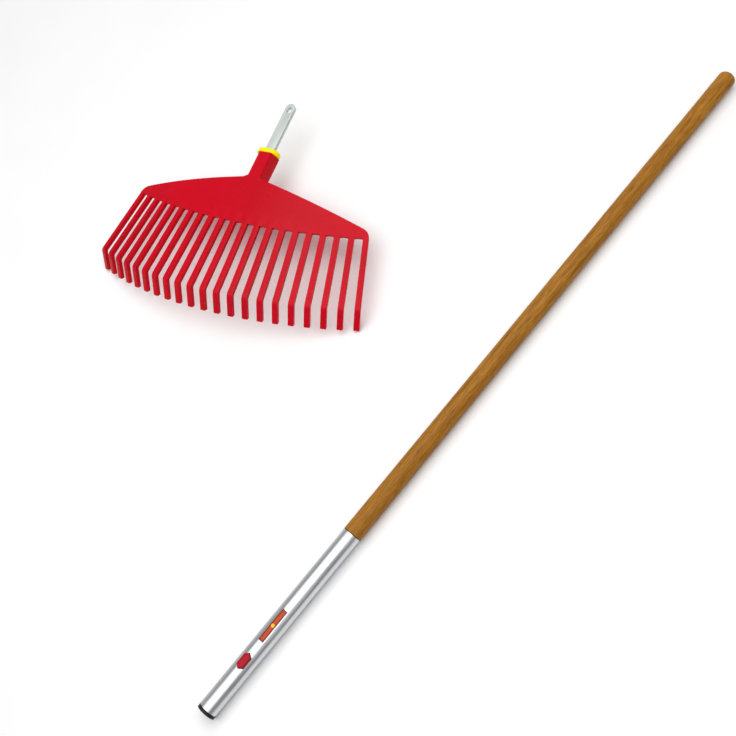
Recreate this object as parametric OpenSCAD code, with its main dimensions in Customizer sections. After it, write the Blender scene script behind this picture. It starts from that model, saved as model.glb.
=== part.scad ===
// Leaf rake with a plug-on head: a moulded plastic fan on a flat tang, and a loose handle of
// wood and aluminium whose sprung latch holds the tang. Drawn unplugged, both pieces lying
// on the floor. Millimetres, +Z up, origin on the floor under the middle of the outline.

/* [Fan] */
// Number of tines
tine_count = 21; // [15:2:25]
// Distance between the middles of the two outermost tine roots, along the curved plate
root_span = 440; // [380:5:480]
// Radius to which the plate is curved from side to side
fan_radius = 760; // [600:20:1200]
// Distance from the collar back to the middle tine's root
root_back = 142; // [130:1:150]
// How much further forward the outermost roots lie
root_sag = 31; // [24:1:36]
// Straight length of the middle tine
tine_len = 126; // [100:1:150]
// Width of a tine
tine_w = 9.6; // [7:0.2:11]
// Thickness of a tine
tine_t = 6.4; // [5:0.2:7]
// Outward turn of the outermost tines
splay = 14.6; // [8:0.2:18]
// Angle through which the tips are bent down
tip_bend = 49; // [40:1:60]
// Length of a bent tip
tip_len = 36; // [26:1:44]
// Thickness of the plate
plate_t = 4.6; // [4:0.2:6]

/* [Tang] */
// Length of tang that stands out of the collar
tang_len = 98; // [94:1:104]
// Width of the tang
tang_w = 17; // [14:0.5:18]
// Thickness of the tang
tang_t = 7.4; // [6:0.2:8]
// Distance from the collar to the middle of the eye
eye_at = 85; // [82:1:88]

/* [Handle] */
// Length of the handle
handle_len = 1200; // [1000:10:1600]
// Length of aluminium tube that shows
tube_len = 308; // [290:1:340]
// Outside diameter of the tube
tube_d = 28; // [28:0.5:30]
// Bore of the tube
tube_bore = 25.2; // [25.2:0.2:26]
// Diameter of the wooden shaft beside the tube
wood_d = 28.8; // [28:0.2:30]
// Diameter of the wooden shaft towards its far end
wood_end_d = 26.6; // [25:0.2:28]

/* [Latch] */
// Travel of the release button
press_travel = 2.4; // [2.2:0.1:2.6]

/* [Layout] */
// Where the handle lies, to the right of the middle
handle_x = 341.8; // [320:0.1:350]
// Roll of the handle about its length, button turned to the right
handle_roll = 2.02; // [0:0.01:6]
// Where the collar lies, to the left of the handle
head_left = 526; // [500:1:560]
// Where the collar lies, along the handle from its mouth
head_along = 698; // [650:1:740]
// Turn of the head away from the handle's direction
head_turn = 20; // [10:1:25]
// Slope of the tang, as it lies with the handle plugged on
head_slope = 2.24; // [1:0.01:4]

/* [Hidden] */

$fn = 64;
far = 400;

// fan
last = tine_count - 1;
root_angle = root_span / fan_radius / 2 * 180 / PI;
fan_slope = 2.5;
fan_rise = 13.6;
tine_trim = 7;
bend_r = 12;
tine_overlap = 14;
rear_y = 57;
rear_fall = 0.19;
corner_r = 14;
outer_x = fan_radius * sin(root_angle) + tine_w / 2;
fan_fn = 720;
socket_top = 11;
socket_bottom = -14;

// collar and tang
collar_t = 8;
tang_root = 36;
eye_w = 8.6;
eye_len = 12.5;
screw_y = -24;

// how far the outermost tips reach below and behind the collar, for standing on the floor
tip_y = -246;
tip_z = -70.1;
head_z = -tip_z * cos(head_slope) + tip_y * sin(head_slope);

// handle
tube_r = tube_d / 2;
bore_r = tube_bore / 2;
handle_z = wood_d / 2;
mouth_y = -handle_len / 2;
spigot_len = 60;
tube_full = tube_len + 1;
flange_t = 5;
spigot_from = tube_len - spigot_len;
guide_r = bore_r - 0.05;
slot_w = tang_w + 0.8;
slot_h = tang_t + 0.8;
guide_end = eye_at - 7.6;
rear_from = eye_at + 9.4;
rear_to = rear_from + 18;
rivet_ys = [40, rear_to - 8];
pin_ys = [spigot_from + 14, spigot_from + 46];
head_t = 0.3;

// latch, along the tube from the mouth
latch_y = eye_at + 0.9;
yoke_len = 15;
nose_d = 7.6;
nose_top = -tang_t / 2 + press_travel - 0.4;
yoke_top = 8;
bar_top = -tang_t / 2 - 0.6;
bar_bottom = bar_top - 1.8;
leg_in = tang_w / 2 + 0.4;
leg_out = leg_in + 1.5;
pocket_z = yoke_top - press_travel - 0.6;
button_len = 26;
button_w = 12.4;

// shutter
block_len = 10;
shutter_proud = 0.5;
tail_end = rear_to + 10;
seat_y = spigot_from - 2;

// tine number counted from -1 at the left to 1 at the right
function side(i) = 2 * i / last - 1;

function root_y(s) = -(root_back - root_sag * s * s);

function arc(cx, cy, r, a0, a1, steps) =
    [for (k = [0:steps]) let (a = a0 + (a1 - a0) * k / steps) [cx + r * cos(a), cy + r * sin(a)]];

// ---- placing ----

module in_head() {
    translate([handle_x - head_left, mouth_y + head_along, head_z])
        rotate([0, 0, head_turn])
            rotate([-head_slope, 0, 0])
                children();
}

module in_fan() {
    translate([0, 0, fan_rise])
        rotate([fan_slope, 0, 0])
            children();
}

module in_handle() {
    translate([handle_x, mouth_y, handle_z])
        rotate([0, handle_roll, 0])
            children();
}

// a round bar along the handle
module bar(r, from, to) {
    translate([0, from, 0])
        rotate([-90, 0, 0])
            cylinder(r = r, h = to - from);
}

// a block from one distance along the handle to another, centred across
module block(w, from, to, bottom, top) {
    translate([-w / 2, from, bottom])
        cube([w, to - from, top - bottom]);
}

// ---- head ----

// side outline of one tine: straight, then bent down
module tine_outline(len) {
    turn_at = len - bend_r * tan(tip_bend / 2);
    straight = tip_len - bend_r * tan(tip_bend / 2);
    end_x = turn_at + bend_r * sin(tip_bend) + straight * cos(tip_bend);
    end_y = -bend_r * (1 - cos(tip_bend)) - straight * sin(tip_bend);
    outer = arc(turn_at, -bend_r, bend_r, 90, 90 - tip_bend, 8);
    inner = arc(turn_at, -bend_r, bend_r - tine_t, 90 - tip_bend, 90, 8);
    back_x = end_x - tine_t * sin(tip_bend);
    back_y = end_y - tine_t * cos(tip_bend);
    nose_x = end_x - 1.6 * sin(tip_bend) + 1.2 * cos(tip_bend);
    nose_y = end_y - 1.6 * cos(tip_bend) - 1.2 * sin(tip_bend);
    polygon(concat(
        [[-tine_overlap, 0]],
        outer,
        [[end_x, end_y], [nose_x, nose_y], [back_x, back_y]],
        inner,
        [[-tine_overlap, -tine_t]]));
}

module tine(i) {
    s = side(i);
    translate([0, 0, -fan_radius])
        rotate([0, s * root_angle, 0])
            translate([0, root_y(s), fan_radius])
                rotate([0, 0, s * splay])
                    rotate([90, 0, -90])
                        linear_extrude(height = tine_w, center = true)
                            tine_outline(tine_len - tine_trim * s * s);
}

// outline of the plate seen from above
module plate_outline() {
    rear_x = outer_x - corner_r;
    rear_at = -rear_y - rear_fall * rear_x;
    corner_y = rear_at - corner_r;
    right = arc(rear_x, corner_y, corner_r, 90, 0, 8);
    left = arc(-rear_x, corner_y, corner_r, 180, 90, 8);
    front = [for (k = [-20:20]) let (s = k / 20) [-outer_x * s, root_y(s)]];
    polygon(concat([[0, -rear_y]], right, front, left));
}

module plate() {
    intersection() {
        translate([0, 0, -far / 2])
            linear_extrude(height = far)
                plate_outline();
        translate([0, 0, -fan_radius])
            rotate([90, 0, 0])
                difference() {
                    cylinder(r = fan_radius, h = far, $fn = fan_fn);
                    translate([0, 0, -1])
                        cylinder(r = fan_radius - plate_t, h = far + 2, $fn = fan_fn);
                }
    }
}

// faceted socket that carries the tang
module socket() {
    rotate([90, 0, 0])
        translate([0, 0, collar_t])
            linear_extrude(height = 58)
                polygon([[-11, socket_top], [11, socket_top], [18.6, -3], [18.6, -8],
                    [13, socket_bottom], [-13, socket_bottom], [-18.6, -8], [-18.6, -3]]);
}

// gusset from the socket's underside up to the plate
module socket_ramp() {
    rotate([90, 0, 90])
        linear_extrude(height = 24, center = true)
            polygon([[-64, socket_bottom + 0.5], [-112, 5.4], [-64, 8]]);
}

module fan() {
    color("crimson")
    in_head()
    difference() {
        union() {
            in_fan() {
                plate();
                for (i = [0:last]) tine(i);
            }
            socket();
            socket_ramp();
        }
        translate([0, -tang_root - 0.1, 0])
            block(tang_w + 0.2, 0, far, -tang_t / 2 - 0.1, tang_t / 2 + 0.1);
        translate([0, screw_y, socket_bottom - 1])
            cylinder(d = 4.4, h = 1 - socket_bottom - tang_t / 2 + 0.2);
        translate([0, screw_y, socket_bottom - 1])
            cylinder(d = 9, h = 4);
    }
}

// stadium-shaped ring round the tang's root
module collar() {
    color("gold")
    in_head()
    difference() {
        translate([0, 0, -1])
            union() {
                for (x = [-6.5, 6.5]) translate([x, 0, 0]) bar(13.4, -collar_t + 0.02, 0);
                block(13, -collar_t + 0.02, 0, -13.4, 13.4);
            }
        block(tang_w + 0.3, -collar_t - 1, 1, -tang_t / 2 - 0.15, tang_t / 2 + 0.15);
    }
}

module tang() {
    eye_half = (eye_len - eye_w) / 2;
    end_r = tang_w / 2;
    color("silver")
    in_head()
    difference() {
        union() {
            block(tang_w, -tang_root, tang_len - end_r, -tang_t / 2, tang_t / 2);
            translate([0, tang_len - end_r, -tang_t / 2]) cylinder(r = end_r, h = tang_t);
        }
        translate([0, eye_at, -tang_t]) {
            for (y = [-eye_half, eye_half])
                translate([0, y, 0]) cylinder(d = eye_w, h = 2 * tang_t);
            translate([-eye_w / 2, -eye_half, 0]) cube([eye_w, 2 * eye_half, 2 * tang_t]);
        }
        for (m = [-1, 1])
            translate([m * tang_w / 2, 0, 1.5])
                block(1.2, 3, tang_len - 14, 0, 0.8);
        translate([0, screw_y, -tang_t / 2 - 1]) cylinder(d = 3.8, h = 5.4);
    }
}

// pan-head screw from below that locks the tang in its socket
module tang_screw() {
    color("dimgray")
    in_head()
    translate([0, screw_y, socket_bottom + 0.4])
    difference() {
        union() {
            cylinder(d = 8, h = 2.6);
            cylinder(d = 3.6, h = -socket_bottom - tang_t / 2 + 3.6);
        }
        for (a = [0, 90])
            rotate([0, 0, a]) translate([-2.4, -0.5, -1]) cube([4.8, 1, 2.2]);
    }
}

// ---- handle ----

// the button's window: a long hexagon
module lozenge(len, w) {
    polygon([[-w / 2, -len / 2 + 5], [0, -len / 2], [w / 2, -len / 2 + 5],
        [w / 2, len / 2 - 5], [0, len / 2], [-w / 2, len / 2 - 5]]);
}

// room for the button, cut in the tube and both guides
module button_pocket() {
    translate([0, latch_y, pocket_z])
        linear_extrude(height = 20)
            lozenge(button_len + 0.8, button_w + 0.8);
}

module aluminium_tube() {
    color("lightgray")
    in_handle()
    difference() {
        bar(tube_r, flange_t, tube_full - 1);
        bar(bore_r, -1, tube_full);
        button_pocket();
        for (y = rivet_ys) translate([0, y, -20]) cylinder(d = 5.8, h = 20);
        for (y = pin_ys) translate([0, y, -20]) cylinder(d = 5.2, h = 20);
    }
}

module wood_shaft() {
    taper_to = handle_len * 0.86;
    dome = 9;
    color("peru")
    in_handle()
    difference() {
        union() {
            bar(bore_r - 0.05, spigot_from, tube_len + 1.5);
            translate([0, tube_len + 1.2, 0])
                rotate([-90, 0, 0])
                    cylinder(d1 = wood_d, d2 = wood_end_d, h = taper_to - tube_len - 1.2);
            bar(wood_end_d / 2, taper_to, handle_len - dome);
            translate([0, handle_len - dome, 0])
                rotate([-90, 0, 0])
                    rotate_extrude()
                        polygon(concat([[0, 0]],
                            [for (a = [0:9:90]) [wood_end_d / 2 * cos(a), dome * sin(a)]]));
        }
        for (y = pin_ys) translate([0, y, -20]) cylinder(d = 2.5, h = 16);
    }
}

// black ring between the tube's end and the wood's shoulder
module joint_ring() {
    color("black")
    in_handle()
    difference() {
        bar(tube_r + 0.1, tube_len + 0.02, tube_len + 1.18);
        bar(bore_r, tube_len - 1, tube_len + 3);
    }
}

// two nails under the tube that hold the wooden spigot
module shaft_pins() {
    color("silver")
    in_handle()
    for (y = pin_ys)
        translate([0, y, 0]) {
            translate([0, 0, -tube_r]) cylinder(d = 2.4, h = 8);
            translate([0, 0, -tube_r - head_t]) cylinder(d = 5, h = head_t + 0.4);
        }
}

module tang_slot(from, to) {
    block(slot_w, from, to, -slot_h / 2, slot_h / 2);
}

// plastic plug in the mouth, flanged and slotted for the tang
module mouth_guide() {
    color("black")
    in_handle()
    difference() {
        union() {
            bar(guide_r, 0, guide_end);
            bar(tube_r + 0.2, 0, flange_t - 0.02);
        }
        tang_slot(-1, guide_end + 1);
        button_pocket();
        translate([0, rivet_ys[0], -20]) cylinder(d = 3.1, h = 20 - slot_h / 2 - 1);
    }
}

// second guide behind the latch
module rear_guide() {
    color("black")
    in_handle()
    difference() {
        bar(guide_r, rear_from, rear_to);
        tang_slot(rear_from - 1, rear_to + 1);
        button_pocket();
        translate([0, rivet_ys[1], -20]) cylinder(d = 3.1, h = 20 - slot_h / 2 - 1);
    }
}

// blind rivets under the tube, one in each guide
module guide_rivets() {
    color("silver")
    in_handle()
    for (y = rivet_ys)
        translate([0, y, 0]) {
            translate([0, 0, -tube_r]) cylinder(d = 3, h = 7);
            translate([0, 0, -tube_r - head_t]) cylinder(d = 5.6, h = head_t + 0.4);
        }
}

// printed strip on the tube, plain colours
module label_strip() {
    color("orangered")
    in_handle()
    intersection() {
        difference() {
            bar(tube_r + 0.25, latch_y + 33, latch_y + 87);
            bar(tube_r + 0.02, latch_y, latch_y + 100);
        }
        block(8.6, latch_y, latch_y + 100, 0, 20);
    }
}

// washer on the spigot's end that takes the shutter's spring
module spring_seat() {
    color("dimgray")
    in_handle()
    difference() {
        bar(bore_r - 0.1, seat_y, spigot_from - 0.02);
        bar(3, seat_y - 1, spigot_from);
    }
}

// shutter that fills the slot and is pushed in ahead of the tang
module mouth_shutter() {
    color([0.12, 0.12, 0.12])
    in_handle()
    difference() {
        union() {
            block(tang_w, -shutter_proud, block_len, -tang_t / 2, tang_t / 2);
            block(6, block_len - 1, tail_end + 1, -0.4, tang_t / 2);
            bar(bore_r - 0.6, tail_end, tail_end + 3);
        }
        block(nose_d + 1, -1, block_len + 2, -tang_t, -0.5);
    }
}

// return spring of the shutter, drawn as its turns
module shutter_spring() {
    turns = 12;
    wire = 1;
    from = tail_end + 3 + wire / 2 + 0.1;
    to = seat_y - wire / 2 - 0.1;
    color("silver")
    in_handle()
    for (k = [0:turns - 1])
        translate([0, from + (to - from) * k / (turns - 1), 0])
            rotate([-90, 0, 0])
                rotate_extrude()
                    translate([9, 0]) circle(d = wire, $fn = 16);
}

// ---- latch ----

module release_button() {
    color("red")
    in_handle()
    translate([0, latch_y, 0])
        intersection() {
            translate([0, 0, yoke_top + 0.02])
                linear_extrude(height = 20)
                    lozenge(button_len, button_w);
            bar(tube_r + press_travel + 0.8, -button_len, button_len);
        }
}

// steel stirrup round the tang; its nose enters the eye from below
module latch_yoke() {
    color("gray")
    in_handle()
    translate([0, latch_y, 0])
        difference() {
            union() {
                intersection() {
                    block(2 * leg_out, -yoke_len / 2, yoke_len / 2, bar_bottom, yoke_top);
                    bar(bore_r - 0.2, -yoke_len, yoke_len);
                    translate([0, 0, press_travel]) bar(bore_r - 0.2, -yoke_len, yoke_len);
                }
                translate([0, 0, bar_top - 1]) cylinder(d = nose_d, h = nose_top - bar_top + 1);
            }
            difference() {
                block(2 * leg_in, -yoke_len, yoke_len, bar_top, yoke_top - 1.7);
                translate([0, 0, bar_top - 1]) cylinder(d = nose_d, h = nose_top - bar_top + 1);
            }
        }
}

// bowed leaf spring under the stirrup
module latch_spring() {
    leaf_t = 0.5;
    bow = (bore_r + bar_bottom - leaf_t - 0.7) / 36;
    top = bar_bottom - 0.05;
    color("silver")
    in_handle()
    translate([0, latch_y, 0])
        rotate([90, 0, 90])
            linear_extrude(height = 6, center = true)
                polygon(concat(
                    [for (k = [-6:6]) [k * 1.15, top - bow * k * k]],
                    [for (k = [6:-1:-6]) [k * 1.15, top - leaf_t - bow * k * k]]));
}

fan();
collar();
tang();
tang_screw();
aluminium_tube();
wood_shaft();
joint_ring();
shaft_pins();
mouth_guide();
rear_guide();
guide_rivets();
label_strip();
spring_seat();
mouth_shutter();
shutter_spring();
release_button();
latch_yoke();
latch_spring();
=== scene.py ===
"""Looks of a leaf rake: the head with its fan of tines, and the handle lying beside it."""

import math

import bmesh
import bpy
from mathutils import Matrix, Vector
from mathutils.geometry import tessellate_polygon

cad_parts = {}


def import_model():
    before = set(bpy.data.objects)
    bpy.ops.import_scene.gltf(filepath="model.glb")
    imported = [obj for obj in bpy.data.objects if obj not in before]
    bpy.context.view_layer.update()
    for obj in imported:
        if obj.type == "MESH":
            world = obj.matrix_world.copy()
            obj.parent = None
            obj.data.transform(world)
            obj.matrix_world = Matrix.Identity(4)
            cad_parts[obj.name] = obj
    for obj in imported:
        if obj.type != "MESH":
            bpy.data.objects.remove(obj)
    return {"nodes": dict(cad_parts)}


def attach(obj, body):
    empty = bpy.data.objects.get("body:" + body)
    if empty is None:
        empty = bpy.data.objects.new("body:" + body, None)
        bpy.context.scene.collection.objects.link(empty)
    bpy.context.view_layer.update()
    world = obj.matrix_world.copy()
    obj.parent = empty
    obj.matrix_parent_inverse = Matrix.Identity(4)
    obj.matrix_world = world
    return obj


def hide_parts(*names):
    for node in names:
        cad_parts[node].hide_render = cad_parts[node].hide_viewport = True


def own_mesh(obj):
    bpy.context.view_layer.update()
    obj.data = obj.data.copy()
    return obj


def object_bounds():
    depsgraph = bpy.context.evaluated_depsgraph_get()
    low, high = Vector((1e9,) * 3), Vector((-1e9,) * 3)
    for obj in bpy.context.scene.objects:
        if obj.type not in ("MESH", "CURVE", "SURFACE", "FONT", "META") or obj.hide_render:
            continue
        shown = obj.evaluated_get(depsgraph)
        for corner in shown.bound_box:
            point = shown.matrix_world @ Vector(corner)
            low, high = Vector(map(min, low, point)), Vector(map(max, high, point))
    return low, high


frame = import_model()
cad_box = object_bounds()
nodes = frame["nodes"]
MM = 0.001

# ---- the design's numbers, in millimetres and degrees, as in the part's source ----

TINES = 21
LAST = TINES - 1
FAN_R = 760
ROOT_SPAN = 440
ROOT_BACK, ROOT_SAG = 142, 31
TINE_LEN, TINE_TRIM = 126, 7
TINE_W, TINE_T = 9.6, 6.4
SPLAY = 14.6
TIP_BEND, TIP_LEN = 49, 36
BEND_R = 12
PLATE_T = 4.6
REAR_Y, REAR_FALL = 57, 0.19
FAN_SLOPE, FAN_RISE = 2.5, 13.6
SOCKET_TOP, SOCKET_BOTTOM = 11, -14
COLLAR_T, COLLAR_X, COLLAR_R = 8, 6.5, 13.4
TANG_LEN, TANG_W, TANG_T, TANG_ROOT = 98, 17, 7.4, 36
EYE_AT, EYE_W, EYE_LEN = 85, 8.6, 12.5
HEAD_LEFT, HEAD_ALONG, HEAD_TURN, HEAD_SLOPE = 526, 698, 20, 2.24
TIP_Y, TIP_Z = -246, -70.1
HANDLE_X, HANDLE_Z, MOUTH_Y, HANDLE_ROLL = 341.8, 14.4, -600, 2.02
TUBE_R = 14
LATCH_Y = 85.9
BUTTON_LEN, BUTTON_W, BUTTON_POINT, BUTTON_BASE = 26, 12.4, 5, 8.1
TAIL_END, SEAT_Y = 122.4, 246
COIL_TURNS, COIL_R, COIL_WIRE_R = 12, 9, 0.5
LEAF_T, LEAF_W, LEAF_HALF, LEAF_CREST, LEAF_FOOT = 0.5, 6, 6.9, -6.15, -11.45
LABEL_HALF, LABEL_FROM, LABEL_TO = 4.3, 34, 86


def turned(angle, axis):
    return Matrix.Rotation(math.radians(angle), 4, axis)


def moved(x, y, z):
    return Matrix.Translation((x, y, z))


SCALE = Matrix.Diagonal((MM, MM, MM, 1))
slope = math.radians(HEAD_SLOPE)
HEAD_Z = -TIP_Z * math.cos(slope) + TIP_Y * math.sin(slope)
IN_HEAD = (moved(HANDLE_X - HEAD_LEFT, MOUTH_Y + HEAD_ALONG, HEAD_Z)
           @ turned(HEAD_TURN, "Z") @ turned(-HEAD_SLOPE, "X"))
IN_FAN = moved(0, 0, FAN_RISE) @ turned(FAN_SLOPE, "X")
IN_HANDLE = moved(HANDLE_X, MOUTH_Y, HANDLE_Z) @ turned(HANDLE_ROLL, "Y")


# ---- small helpers ----

def smooth(t):
    t = max(0.0, min(1.0, t))
    return t * t * (3 - 2 * t)


def mix(a, b, t):
    return a + (b - a) * t


def piece(name, bm, place, material, body, replaces=()):
    """turns a mesh made in millimetres into an object that rides on a body"""
    bm.transform(SCALE @ place)
    bmesh.ops.recalc_face_normals(bm, faces=bm.faces)
    mesh = bpy.data.meshes.new(name)
    bm.to_mesh(mesh)
    bm.free()
    for face in mesh.polygons:
        face.use_smooth = True
    ob = bpy.data.objects.new(name, mesh)
    bpy.context.scene.collection.objects.link(ob)
    for m in material if isinstance(material, list) else [material]:
        mesh.materials.append(m)
    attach(ob, body)
    if replaces:
        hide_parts(*replaces)
    return ob


def bevelled(ob, width, segments=3, angle=40):
    mod = ob.modifiers.new("Rounding", "BEVEL")
    mod.width = width * MM
    mod.segments = segments
    mod.limit_method = "ANGLE"
    mod.angle_limit = math.radians(angle)
    mod.harden_normals = True
    return ob


def quads(bm, a, b):
    """a strip of faces between two rows of vertices"""
    for k in range(len(a) - 1):
        if len({a[k], a[k + 1], b[k + 1], b[k]}) > 2:
            bm.faces.new([a[k], a[k + 1], b[k + 1], b[k]])


def ring(bm, a, b):
    """a closed strip of faces between two loops of vertices"""
    quads(bm, a + a[:1], b + b[:1])


def cap(bm, loops):
    """a flat face bounded by the first loop, with the other loops as holes"""
    flat = [v for loop in loops for v in loop]
    for tri in tessellate_polygon([[v.co for v in loop] for loop in loops]):
        bm.faces.new([flat[k] for k in tri])


def verts(bm, points):
    return [bm.verts.new(p) for p in points]


# ---- materials ----

def node(tree, kind, inputs=None, **settings):
    n = tree.nodes.new(kind)
    for key, value in settings.items():
        setattr(n, key, value)
    for key, value in (inputs or {}).items():
        if isinstance(value, bpy.types.NodeSocket):
            tree.links.new(value, n.inputs[key])
        else:
            n.inputs[key].default_value = value
    return n


def ramp(tree, factor, stops):
    n = node(tree, "ShaderNodeValToRGB", {"Fac": factor})
    el = n.color_ramp.elements
    while len(el) < len(stops):
        el.new(0.5)
    for e, (at, colour) in zip(el, stops):
        e.position = at
        e.color = (*colour, 1)
    return n.outputs["Color"]


def grey_ramp(tree, factor, low, high, start=0.0, end=1.0):
    n = node(tree, "ShaderNodeMapRange",
             {"Value": factor, "From Min": start, "From Max": end, "To Min": low, "To Max": high})
    return n.outputs["Result"]


def material(name, **shader):
    m = bpy.data.materials.new(name)
    m.use_nodes = True
    tree = m.node_tree
    bsdf = tree.nodes["Principled BSDF"]
    for key, value in shader.items():
        bsdf.inputs[key.replace("_", " ")].default_value = value
    where = node(tree, "ShaderNodeTexCoord").outputs["Object"]
    return m, tree, bsdf, where


def noise(tree, where, scale, detail=4.0, rough=0.55, stretch=None, distortion=0.0):
    if stretch:
        where = node(tree, "ShaderNodeMapping", {"Vector": where, "Scale": stretch}).outputs["Vector"]
    return node(tree, "ShaderNodeTexNoise",
                {"Vector": where, "Scale": scale, "Detail": detail, "Roughness": rough,
                 "Distortion": distortion}).outputs["Fac"]


def bump(tree, bsdf, height, strength, distance, normal=None):
    inputs = {"Height": height, "Strength": strength, "Distance": distance}
    if normal is not None:
        inputs["Normal"] = normal
    out = node(tree, "ShaderNodeBump", inputs).outputs["Normal"]
    tree.links.new(out, bsdf.inputs["Normal"])
    return out


def moulded(name, dark, light, rough, **shader):
    """injection-moulded plastic: slow colour drift, fine eroded texture, faint scuffs"""
    m, tree, bsdf, where = material(name, **shader)
    drift = noise(tree, where, 9, 3)
    tree.links.new(ramp(tree, drift, [(0.3, dark), (0.7, light)]), bsdf.inputs["Base Color"])
    grain = noise(tree, where, 1500, 2)
    scuff = noise(tree, where, 45, 6, 0.7)
    tree.links.new(grey_ramp(tree, scuff, rough * 0.8, rough * 1.3, 0.3, 0.7), bsdf.inputs["Roughness"])
    flow = bump(tree, bsdf, noise(tree, where, 30, 2), 0.25, 0.0006)
    bump(tree, bsdf, grain, 0.12, 0.0002, flow)
    return m


RED = moulded("red_moulding", (0.49, 0.001, 0.010), (0.59, 0.002, 0.014), 0.27, Specular_IOR_Level=0.10)
BUTTON_RED = moulded("button_red", (0.36, 0.001, 0.010), (0.47, 0.001, 0.014), 0.25, Specular_IOR_Level=0.16)
YELLOW = moulded("yellow_moulding", (0.95, 0.74, 0.001), (1.0, 0.85, 0.002), 0.33, Specular_IOR_Level=0.15)
BLACK = moulded("black_plastic", (0.008, 0.008, 0.009), (0.018, 0.018, 0.019), 0.42, Specular_IOR_Level=0.2)


def coated_tang():
    """light grey coat over metal, slightly speckled"""
    m, tree, bsdf, where = material("grey_tang", Metallic=0.25)
    drift = noise(tree, where, 14, 4)
    tree.links.new(ramp(tree, drift, [(0.3, (0.55, 0.60, 0.575)), (0.7, (0.63, 0.675, 0.65))]),
                   bsdf.inputs["Base Color"])
    speck = noise(tree, where, 900, 3)
    tree.links.new(grey_ramp(tree, speck, 0.34, 0.5, 0.3, 0.7), bsdf.inputs["Roughness"])
    bump(tree, bsdf, speck, 0.15, 0.0002)
    return m


def brushed_aluminium():
    """drawn tube: fine lines along its length; a dark edge tint paints shade towards its edges"""
    # the dark Specular Tint is painted shade: it darkens the grazing edges of the tube
    m, tree, bsdf, where = material("aluminium_tube", Metallic=1.0, Specular_Tint=(0.30, 0.31, 0.33, 1))
    draw = noise(tree, where, 260, 5, 0.65, (1.0, 0.012, 1.0))
    cloud = noise(tree, where, 12, 4)
    tree.links.new(ramp(tree, draw, [(0.25, (0.60, 0.615, 0.63)), (0.75, (0.80, 0.815, 0.83))]),
                   bsdf.inputs["Base Color"])
    streaks = grey_ramp(tree, draw, 0.30, 0.46, 0.3, 0.7)
    patches = grey_ramp(tree, cloud, -0.03, 0.05, 0.3, 0.7)
    rough = node(tree, "ShaderNodeMath", {0: streaks, 1: patches}, operation="ADD").outputs[0]
    tree.links.new(rough, bsdf.inputs["Roughness"])
    bump(tree, bsdf, draw, 0.12, 0.0002)
    return m


def steel():
    """zinc-plated steel with a cloudy finish"""
    m, tree, bsdf, where = material("zinc_steel", Metallic=1.0)
    cloud = noise(tree, where, 120, 5, 0.7)
    tree.links.new(ramp(tree, cloud, [(0.3, (0.42, 0.43, 0.45)), (0.7, (0.62, 0.63, 0.65))]),
                   bsdf.inputs["Base Color"])
    tree.links.new(grey_ramp(tree, cloud, 0.28, 0.45, 0.3, 0.7), bsdf.inputs["Roughness"])
    bump(tree, bsdf, cloud, 0.1, 0.0002)
    return m


def ash_wood():
    """varnished wood: growth bands that wander, a slow change of tone, and short dark pores"""
    m, tree, bsdf, where = material("ash_wood", Coat_Weight=0.05, Coat_Roughness=0.2, Specular_IOR_Level=0.12)
    long = (1.0, 0.07, 1.0)
    wander = noise(tree, where, 5, 3, 0.5, (1.0, 0.35, 1.0))
    shift = node(tree, "ShaderNodeCombineXYZ",
                 {"X": grey_ramp(tree, wander, -0.012, 0.012), "Y": 0.0,
                  "Z": grey_ramp(tree, wander, 0.010, -0.010)}).outputs[0]
    bent = node(tree, "ShaderNodeVectorMath", {0: where, 1: shift}, operation="ADD").outputs[0]
    bands = noise(tree, bent, 210, 4, 0.55, long, 0.5)
    fibre = noise(tree, where, 1100, 4, 0.65, (1.0, 0.06, 1.0))
    tone = noise(tree, where, 3.5, 3, 0.5, (1.0, 0.6, 1.0))
    base = ramp(tree, bands, [(0.30, (0.235, 0.086, 0.007)), (0.47, (0.350, 0.142, 0.013)),
                              (0.60, (0.430, 0.190, 0.021)), (0.75, (0.285, 0.108, 0.009))])
    amount = grey_ramp(tree, tone, 0.0, 0.55, 0.35, 0.7)
    tinted = node(tree, "ShaderNodeMix", {"Factor": amount, 6: base, 7: (0.300, 0.120, 0.010, 1)},
                  data_type="RGBA", blend_type="MIX").outputs[2]
    pores = grey_ramp(tree, fibre, 0.62, 1.08, 0.34, 0.56)
    pored = node(tree, "ShaderNodeVectorMath", {0: tinted, "Scale": pores}, operation="SCALE").outputs[0]
    tree.links.new(pored, bsdf.inputs["Base Color"])
    tree.links.new(grey_ramp(tree, fibre, 0.62, 0.36, 0.3, 0.6), bsdf.inputs["Roughness"])
    bump(tree, bsdf, fibre, 0.35, 0.0003)
    return m


def film(name, dark, light):
    """printed plastic film in one plain colour"""
    m, tree, bsdf, where = material(name, Roughness=0.42, Specular_IOR_Level=0.25)
    tree.links.new(ramp(tree, noise(tree, where, 200, 4), [(0.3, dark), (0.7, light)]),
                   bsdf.inputs["Base Color"])
    bump(tree, bsdf, noise(tree, where, 700, 2), 0.1, 0.0001)
    return m


TANG = coated_tang()
ALUMINIUM = brushed_aluminium()
STEEL = steel()
WOOD = ash_wood()
LABEL = [film("label_red", (0.46, 0.045, 0.004), (0.57, 0.070, 0.006)),
         film("label_border", (0.13, 0.002, 0.003), (0.18, 0.003, 0.004)),
         film("label_dot", (0.85, 0.50, 0.01), (0.95, 0.60, 0.02))]


# ---- the fan: one moulding, made as a grid of columns that run from the rear edge to the tips ----

def side(i):
    return 2 * i / LAST - 1


def root_y(s):
    return -(ROOT_BACK - ROOT_SAG * s * s)


ROOT_ANGLE = ROOT_SPAN / FAN_R / 2
# fractions of the way from the rear edge to the tines' roots
ROWS = [0, 0.14, 0.28, 0.42, 0.56, 0.70, 0.84, 1]
BEND_ROW = 5
# places across a tine, from its left edge to its right
ACROSS = [-1, -0.5, 0, 0.5, 1]
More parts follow.
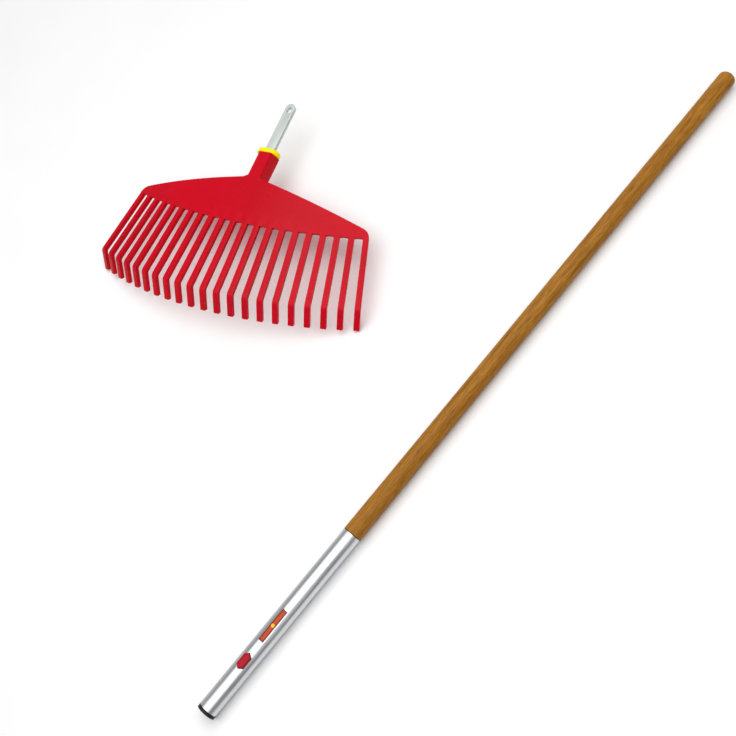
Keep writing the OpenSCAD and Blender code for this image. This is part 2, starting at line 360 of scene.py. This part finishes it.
# each column is (tine, place across it, share of the way to the next tine)
COLUMNS = []
for i in range(TINES):
    COLUMNS += [(i, q, 0) for q in ACROSS]
    if i < LAST:
        COLUMNS += [(i, 1, 1 / 3), (i, 1, 2 / 3)]
MIDDLE = COLUMNS.index((LAST // 2, 0, 0))
CORNER_R = 18
CORNER_TOP = 79
SOCKET_ROWS = [-COLLAR_T + 0.5, -22, -38, -50]
SOCKET_GAP = 2.4
SOCKET_TOPS = [(x, SOCKET_TOP) for x in (0, 4, 7.6, 11)] + [(18.6, -3)]
SOCKET_BOTTOMS = [(x, SOCKET_BOTTOM) for x in (0, 4.6, 9, 13)] + [(18.6, -8)]
HALF = len(SOCKET_TOPS) - 1
RIB = 0.7


def tine_frame(i):
    s = side(i)
    return (IN_FAN @ moved(0, 0, -FAN_R) @ turned(math.degrees(s * ROOT_ANGLE), "Y")
            @ moved(0, root_y(s), FAN_R) @ turned(s * SPLAY, "Z"))


def root_corner(i, q):
    s = side(i)
    t = math.radians(s * SPLAY)
    middle = Vector((FAN_R * s * ROOT_ANGLE, root_y(s)))
    return middle + q * TINE_W / 2 * Vector((math.cos(t), math.sin(t)))


def uphill(i):
    t = math.radians(side(i) * SPLAY)
    return Vector((-math.sin(t), math.cos(t)))


def rear_line(u):
    x = FAN_R * math.sin(abs(u) / FAN_R)
    fillet = 1.2 * max(0, 1 - max(0, abs(u) - 11) / 10) ** 2
    return -REAR_Y - REAR_FALL * x + fillet


def rear_u(u, c):
    off = abs(c - MIDDLE)
    if off <= HALF:
        return math.copysign(SOCKET_TOPS[off][0] if off < HALF else 18.8, c - MIDDLE)
    return u + math.copysign(6.1 * (1 - smooth((abs(u) - 12.7) / 60)), u)


def plate_path(c):
    """a column of the plate, from the rear edge to the root line, in the unrolled plane"""
    i, q, g = COLUMNS[c]
    root = root_corner(i, q)
    back = uphill(i)
    if g:
        root = root.lerp(root_corner(i + 1, -1), g)
        back = back.lerp(uphill(i + 1), g)
    across = rear_u(root.x, c)
    rear = Vector((across, rear_line(across)))
    depth = rear.y - root.y
    bend = root + back * depth * (1 - ROWS[BEND_ROW])
    points = []
    outer = i in (0, LAST) and not g
    if outer:
        hand = 1 if i else -1
        edge = root_corner(i, hand)

        def on_corner(angle):
            a, start = math.radians(angle), math.radians(SPLAY)
            x = hand * (math.cos(a) - math.cos(start))
            return edge + CORNER_R * Vector((x, math.sin(a) - math.sin(start)))

        rear = on_corner(mix(CORNER_TOP, 45, (q * hand + 1) / 2))
    for k, f in enumerate(ROWS):
        if outer and q * hand == 1:
            points.append(on_corner(mix(45, SPLAY, f)))
        elif outer:
            points.append(rear.lerp(root, f))
        elif k <= BEND_ROW:
            points.append(rear.lerp(bend, f / ROWS[BEND_ROW]))
        else:
            points.append(bend.lerp(root, (f - ROWS[BEND_ROW]) / (1 - ROWS[BEND_ROW])))
    return points


def on_cylinder(p, z):
    a = p.x / FAN_R
    return IN_FAN @ Vector(((FAN_R + z) * math.sin(a), p.y, (FAN_R + z) * math.cos(a) - FAN_R))


def plate_points(c):
    i, q, g = COLUMNS[c]
    off = abs(c - MIDDLE)
    tops, bottoms = [], []
    for k, (f, p) in enumerate(zip(ROWS, plate_path(c))):
        sunk = RIB * smooth((f - 0.8) / 0.2) if g else 0.35 * q * q * smooth((f - 0.8) / 0.2)
        thick = PLATE_T if g else mix(PLATE_T, TINE_T, smooth((f - 0.7) / 0.15))
        top = on_cylinder(p, -sunk)
        bottom = on_cylinder(p, -thick)
        drop = (1 - smooth(f / 0.5)) * (1 if off < HALF else 0)
        bottom.z = mix(bottom.z, SOCKET_BOTTOM, drop)
        tops.append(top)
        bottoms.append(bottom)
    return tops, bottoms


def tine_stations(i):
    """points along the top and the bottom of a tine, as (distance, height)"""
    s = side(i)
    length = TINE_LEN - TINE_TRIM * s * s
    bend = math.radians(TIP_BEND)
    tuck = BEND_R * math.tan(bend / 2)
    turn = length - tuck
    tops = [(turn * f, 0) for f in (0.12, 0.3, 0.5, 0.7, 0.88)]
    bottoms = [(x, -TINE_T) for x, _ in tops]
    for k in range(7):
        a = bend * k / 6
        tops.append((turn + BEND_R * math.sin(a), -BEND_R * (1 - math.cos(a))))
        inner = BEND_R - TINE_T
        bottoms.append((turn + inner * math.sin(a), -BEND_R + inner * math.cos(a)))
    bent = tops[-1], bottoms[-1]
    for f, over, under in ((0.35, 0, 0), (0.7, 0, 0), (1, 0.9, 0.1)):
        for line, (x, z), extra in zip((tops, bottoms), bent, (over, under)):
            run = (TIP_LEN - tuck) * f + extra
            line.append((x + run * math.cos(bend), z - run * math.sin(bend)))
    return tops, bottoms


def fan():
    bm = bmesh.new()
    tops, bottoms = [], []
    for c in range(len(COLUMNS)):
        top, bottom = plate_points(c)
        tops.append(verts(bm, top))
        bottoms.append(verts(bm, bottom))
    for c in range(len(COLUMNS) - 1):
        quads(bm, tops[c], tops[c + 1])
        quads(bm, bottoms[c], bottoms[c + 1])
    for edge in (0, -1):
        quads(bm, tops[edge], bottoms[edge])
    rear_t = [t[0] for t in tops]
    rear_b = [b[0] for b in bottoms]
    quads(bm, rear_t[:MIDDLE - HALF + 1], rear_b[:MIDDLE - HALF + 1])
    quads(bm, rear_t[MIDDLE + HALF:], rear_b[MIDDLE + HALF:])

    # socket
    previous = rear_t[MIDDLE - HALF:MIDDLE + HALF + 1], rear_b[MIDDLE - HALF:MIDDLE + HALF + 1]
    for y in [None] + SOCKET_ROWS[::-1]:
        rows = []
        for outline in (SOCKET_TOPS, SOCKET_BOTTOMS):
            half = [(-x, z) for x, z in reversed(outline[1:])] + outline
            rows.append(verts(bm, [(x, y or rear_line(x) + SOCKET_GAP, z) for x, z in half]))
        for old, new in zip(previous, rows):
            quads(bm, old, new)
        for end in (0, -1):
            quads(bm, [previous[0][end], previous[1][end]], [rows[0][end], rows[1][end]])
        previous = rows
    quads(bm, previous[0], previous[1])

    # tines and the slots between them
    for i in range(TINES):
        first = i * (len(ACROSS) + 2)
        columns = range(first, first + len(ACROSS))
        place = tine_frame(i)
        line_t, line_b = tine_stations(i)
        top = [tops[c][-1] for c in columns]
        bottom = [bottoms[c][-1] for c in columns]
        for (xt, zt), (xb, zb) in zip(line_t, line_b):
            fall = Vector((0, xt - xb, zb - zt)).normalized()
            new_t, new_b = [], []
            for q in ACROSS:
                x = q * TINE_W / 2
                new_t.append(bm.verts.new(place @ (Vector((x, -xt, zt)) + fall * 0.35 * q * q)))
                new_b.append(bm.verts.new(place @ Vector((x, -xb, zb))))
            quads(bm, top, new_t)
            quads(bm, bottom, new_b)
            for end in (0, -1):
                quads(bm, [top[end], bottom[end]], [new_t[end], new_b[end]])
            top, bottom = new_t, new_b
        quads(bm, top, bottom)
        if i < LAST:
            slot_end = range(first + len(ACROSS) - 1, first + len(ACROSS) + 3)
            quads(bm, [tops[c][-1] for c in slot_end], [bottoms[c][-1] for c in slot_end])
    ob = piece("fan_moulding", bm, IN_HEAD, RED, "head", ("fan",))
    return bevelled(ob, 1.3, 3, 38)


# ---- collar and tang ----

def collar():
    """stadium-shaped ring with a rounded rim and a slot for the tang"""
    bm = bmesh.new()
    count = 64
    profile = [(-COLLAR_T + 0.05, 0, -0.9), (-COLLAR_T + 0.3, 0, -0.35), (-COLLAR_T + 0.9, 0, 0),
               (-4, 0, 0.1), (-1.5, 0, 0), (-0.7, 0, -0.3), (-0.2, 0, -0.9), (0.02, 0, -1.8),
               (0.1, 0.45, 0), (0.05, 0.85, 0), (-0.1, 0.97, 0), (-1.0, 1, 0), (-COLLAR_T + 0.05, 1, 0)]
    loops = []
    for y, inward, grow in profile:
        loop = []
        for k in range(count):
            a = 2 * math.pi * k / count
            c, s = math.cos(a), math.sin(a)
            middle = math.copysign(COLLAR_X, c) * min(1, abs(c) * 4)
            outer = Vector((middle + (COLLAR_R + grow) * c, (COLLAR_R + grow) * s))
            reach = (TANG_W / 2 + 0.15) / max(abs(c), 1e-6), (TANG_T / 2 + 0.15) / max(abs(s), 1e-6)
            inner = min(reach) * Vector((c, s))
            p = outer.lerp(inner, inward)
            loop.append((p.x, y, p.y - 1 + inward))
        loops.append(verts(bm, loop))
    for a, b in zip(loops, loops[1:] + loops[:1]):
        ring(bm, a, b)
    return piece("collar_ring", bm, IN_HEAD, YELLOW, "head", ("collar",))


def tang():
    """flat tongue with a round end, an oblong eye and a groove along each side"""
    groove_from, groove_to = 3, TANG_LEN - 14
    side_y = [-TANG_ROOT, groove_from, groove_from + 2, groove_to - 2, groove_to]
    end_r = TANG_W / 2

    def outline(inset):
        right = [(end_r - (inset if groove_from < y < groove_to else 0), y) for y in side_y]
        end = [(end_r * math.cos(a), TANG_LEN - end_r + end_r * math.sin(a))
               for a in [math.pi * k / 32 for k in range(33)]]
        return right + end + [(-x, y) for x, y in reversed(right)]

    half = (EYE_LEN - EYE_W) / 2
    eye_r = EYE_W / 2
    eye = [(eye_r * math.cos(a), math.copysign(half, math.sin(a) + 1e-9) + eye_r * math.sin(a))
           for a in [2 * math.pi * (k + 0.5) / 40 for k in range(40)]]
    bm = bmesh.new()
    walls, holes = [], []
    soft, softer, half_t = 0.6, 0.18, TANG_T / 2
    groove_low, groove_high, groove_in = 0.9, 2.4, 1.2
    # height, and how far the outline is drawn in: negative rounds the edges, positive cuts the groove
    layers = [(-half_t, -soft), (-half_t + softer, -softer), (-half_t + soft, 0),
              (groove_low, 0), (groove_low, groove_in), (groove_high, groove_in), (groove_high, 0),
              (half_t - soft, 0), (half_t - softer, -softer), (half_t, -soft)]
    round_from = TANG_LEN - end_r
    for z, change in layers:
        shrink = min(0, change)
        k = 1 + shrink / end_r
        loop = [(x * k, y if y <= round_from else round_from + (y - round_from) * k, z)
                for x, y in outline(max(0, change))]
        walls.append(verts(bm, loop))
        wider = 1 - shrink / eye_r
        longer = 1 - shrink / (EYE_LEN / 2)
        holes.append(verts(bm, [(x * wider, EYE_AT + y * longer, z) for x, y in eye]))
    for k in range(len(layers) - 1):
        ring(bm, walls[k], walls[k + 1])
        ring(bm, holes[k], holes[k + 1])
    for k in (0, -1):
        cap(bm, [walls[k], holes[k]])
    ob = piece("tang_tongue", bm, IN_HEAD, TANG, "head", ("tang",))
    return crisp(ob)


def crisp(ob, angle=30):
    """smooth shading that stays sharp at corners"""
    ob.data.set_sharp_from_angle(angle=math.radians(angle))
    return ob


# ---- handle ----

def button():
    """long hexagon with soft corners and a crown that follows the tube"""
    bm = bmesh.new()
    half_w, half_len, corner = BUTTON_W / 2, BUTTON_LEN / 2, 1.6
    shoulder = half_len - BUTTON_POINT
    corners = [(half_w, shoulder), (0, half_len), (-half_w, shoulder),
               (-half_w, -shoulder), (0, -half_len), (half_w, -shoulder)]
    outline = []
    for k, p in enumerate(corners):
        p = Vector(p)
        before, after = Vector(corners[k - 1]), Vector(corners[(k + 1) % 6])
        start, end = p + (before - p).normalized() * corner, p + (after - p).normalized() * corner
        for t in (0, 0.25, 0.5, 0.75, 1):
            outline.append(start.lerp(p, t).lerp(p.lerp(end, t), t))
    # height above the tube and inset of each loop, up the side and over the crown
    crown = [(1.0, 0), (1.7, 0.15), (2.2, 0.5), (2.6, 1.1), (2.8, 2.0), (2.95, 3.4), (3.0, 5.0)]
    layers = [(BUTTON_BASE, 0)] + [(TUBE_R + rise, inset) for rise, inset in crown]
    loops = []
    for z, inset in layers:
        loop = []
        for p in outline:
            x = p.x * (1 - inset / half_w)
            y = p.y * (1 - inset / half_len)
            dip = (x / TUBE_R) ** 2 * 3.2 if z > TUBE_R else 0
            loop.append((x, y, z - dip))
        loops.append(verts(bm, loop))
    for a, b in zip(loops, loops[1:]):
        ring(bm, a, b)
    bm.faces.new(loops[0])
    centre = bm.verts.new((0, 0, TUBE_R + 3.02))
    for k in range(len(loops[-1])):
        bm.faces.new([loops[-1][k - 1], loops[-1][k], centre])
    place = IN_HANDLE @ moved(0, LATCH_Y, 0)
    ob = piece("push_button", bm, place, BUTTON_RED, "latch", ("release_button",))
    return crisp(ob, 50)


def label():
    """curved film with a dark edge, a plain field and one raised dot"""
    edge_w, dot_r, dot_sides = 1.6, 2.7, 32
    skin, under = TUBE_R + 0.2, TUBE_R + 0.02
    start, end = LATCH_Y + LABEL_FROM, LATCH_Y + LABEL_TO
    inner = LABEL_HALF - edge_w
    across = [-LABEL_HALF] + [inner * k / 3 for k in range(-3, 4)] + [LABEL_HALF]
    along = [start, start + edge_w, end - edge_w, end]

    def on_tube(x, y, r):
        return math.sin(x / TUBE_R) * r, y, math.cos(x / TUBE_R) * r

    bm = bmesh.new()
    top, bottom = [[verts(bm, [on_tube(x, y, r) for x in across]) for y in along] for r in (skin, under)]
    for grid in (top, bottom):
        for a, b in zip(grid, grid[1:]):
            quads(bm, a, b)
    for k in (0, -1):
        quads(bm, top[k], bottom[k])
        quads(bm, [row[k] for row in top], [row[k] for row in bottom])
    for f in bm.faces:
        x, y, _ = f.calc_center_median()
        field = abs(x) < math.sin(inner / TUBE_R) * TUBE_R and start + edge_w < y < end - edge_w
        f.material_index = 0 if field else 1

    printed = len(bm.faces)
    turns = [2 * math.pi * k / dot_sides for k in range(dot_sides)]
    middle = (start + end) / 2
    rings = [verts(bm, [on_tube(r * math.cos(a), middle + r * math.sin(a), high) for a in turns])
             for r, high in ((dot_r / 2, skin - 0.06), (dot_r, skin - 0.06), (dot_r, skin + 0.02),
                             (dot_r - 0.1, skin + 0.05), (dot_r / 2, skin + 0.05))]
    for a, b in zip(rings, rings[1:]):
        ring(bm, a, b)
    bm.faces.new(rings[0])
    bm.faces.new(rings[-1])
    bm.faces.ensure_lookup_table()
    for f in bm.faces[printed:]:
        f.material_index = 2
    return crisp(piece("label_film", bm, IN_HANDLE, LABEL, "handle", ("label_strip",)))


def coil():
    """spring behind the shutter"""
    bm = bmesh.new()
    start, end = TAIL_END + 3.7, SEAT_Y - 0.7
    steps = 28
    total = COIL_TURNS * steps
    along = Vector((0, 1, 0))
    loops = []
    for k in range(total + 1):
        a = 2 * math.pi * k / steps
        out = Vector((math.cos(a), 0, math.sin(a)))
        middle = out * COIL_R + along * mix(start, end, k / total)
        loop = [middle + (out * math.cos(b) + along * math.sin(b)) * COIL_WIRE_R
                for b in [2 * math.pi * m / 8 for m in range(8)]]
        loops.append(verts(bm, loop))
    for a, b in zip(loops, loops[1:]):
        ring(bm, a, b)
    for end_loop in (loops[0], loops[-1]):
        bm.faces.new(end_loop)
    ob = piece("shutter_coil", bm, IN_HANDLE, STEEL, "handle", ("shutter_spring",))
    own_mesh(ob)
    return ob


def leaf():
    """bowed leaf spring under the latch"""
    bm = bmesh.new()
    steps = 24
    half_w = LEAF_W / 2
    section = [(-half_w, 0), (half_w, 0), (half_w, LEAF_T), (-half_w, LEAF_T)]
    rows = []
    for k in range(steps + 1):
        t = mix(-1, 1, k / steps)
        z = mix(LEAF_CREST, LEAF_FOOT, t * t)
        rows.append(verts(bm, [(x, t * LEAF_HALF, z - drop) for x, drop in section]))
    for a, b in zip(rows, rows[1:]):
        ring(bm, a, b)
    for end in (rows[0], rows[-1]):
        bm.faces.new(end)
    place = IN_HANDLE @ moved(0, LATCH_Y, 0)
    ob = crisp(piece("latch_leaf", bm, place, STEEL, "handle", ("latch_spring",)))
    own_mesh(ob)


fan()
collar()
tang()
button()
label()
coil()
leaf()

CAD_LOOKS = {"tang_screw": STEEL, "aluminium_tube": ALUMINIUM, "wood_shaft": WOOD, "joint_ring": BLACK,
             "shaft_pins": ALUMINIUM, "mouth_guide": BLACK, "rear_guide": BLACK, "guide_rivets": ALUMINIUM,
             "spring_seat": BLACK, "mouth_shutter": BLACK, "latch_yoke": STEEL}
for name, look in CAD_LOOKS.items():
    mesh = nodes[name].data
    mesh.materials.clear()
    mesh.materials.append(look)


# ---- floor, light and camera ----

def floor():
    mesh = bpy.data.meshes.new("floor")
    reach = 14
    mesh.from_pydata([(-reach, -reach, 0), (reach, -reach, 0), (reach, reach, 0), (-reach, reach, 0)],
                     [], [(0, 1, 2, 3)])
    ob = bpy.data.objects.new("floor", mesh)
    ob.location.z = cad_box[0][2] - 0.0004
    bpy.context.scene.collection.objects.link(ob)
    m, tree, bsdf, where = material("floor_paper", Roughness=0.85)
    tone = noise(tree, where, 6, 3)
    tree.links.new(ramp(tree, tone, [(0.3, (0.90, 0.90, 0.90)), (0.7, (0.92, 0.92, 0.92))]),
                   bsdf.inputs["Base Color"])
    mesh.materials.append(m)


def area(name, place, target, size, power):
    data = bpy.data.lights.new(name, "AREA")
    data.shape = "RECTANGLE"
    data.size, data.size_y = size, size
    data.energy = power
    ob = bpy.data.objects.new(name, data)
    ob.location = place
    ob.rotation_euler = (Vector(target) - Vector(place)).to_track_quat("-Z", "Y").to_euler()
    bpy.context.scene.collection.objects.link(ob)


def camera():
    """looks down on both pieces from the handle's side, rolled so that the head stands upright"""
    azimuth, elevation, roll = -15.9, 61.5, -35.8
    place = Vector((0.8521, -0.2774, 1.2786))
    data = bpy.data.cameras.new("camera")
    data.sensor_width = 36
    data.lens = 47.15
    data.clip_end = 60
    ob = bpy.data.objects.new("camera", data)
    look = turned(90 + azimuth, "Z") @ turned(90 - elevation, "X") @ turned(roll, "Z")
    ob.matrix_world = Matrix.Translation(place) @ look
    bpy.context.scene.collection.objects.link(ob)
    bpy.context.scene.camera = ob


def world():
    """even studio light that falls off towards the left and right horizons"""
    w = bpy.data.worlds.new("studio")
    bpy.context.scene.world = w
    w.use_nodes = True
    back = w.node_tree.nodes["Background"]
    tree = w.node_tree
    where = node(tree, "ShaderNodeTexCoord").outputs["Generated"]
    side_x = node(tree, "ShaderNodeSeparateXYZ", {"Vector": where}).outputs["X"]
    tree.links.new(ramp(tree, grey_ramp(tree, side_x, 0, 1, -0.9, 0.9),
                        [(0.0, (0.42, 0.42, 0.425)), (0.2, (0.95, 0.95, 0.95)), (0.62, (0.62, 0.62, 0.62)),
                         (1.0, (0.24, 0.24, 0.243))]),
                   back.inputs["Color"])
    back.inputs["Strength"].default_value = 0.62


floor()
world()
area("key", (0.2, 0.0, 2.4), (0.1, 0, 0), 3.3, 71)
camera()
bpy.context.scene.view_settings.view_transform = "Standard"
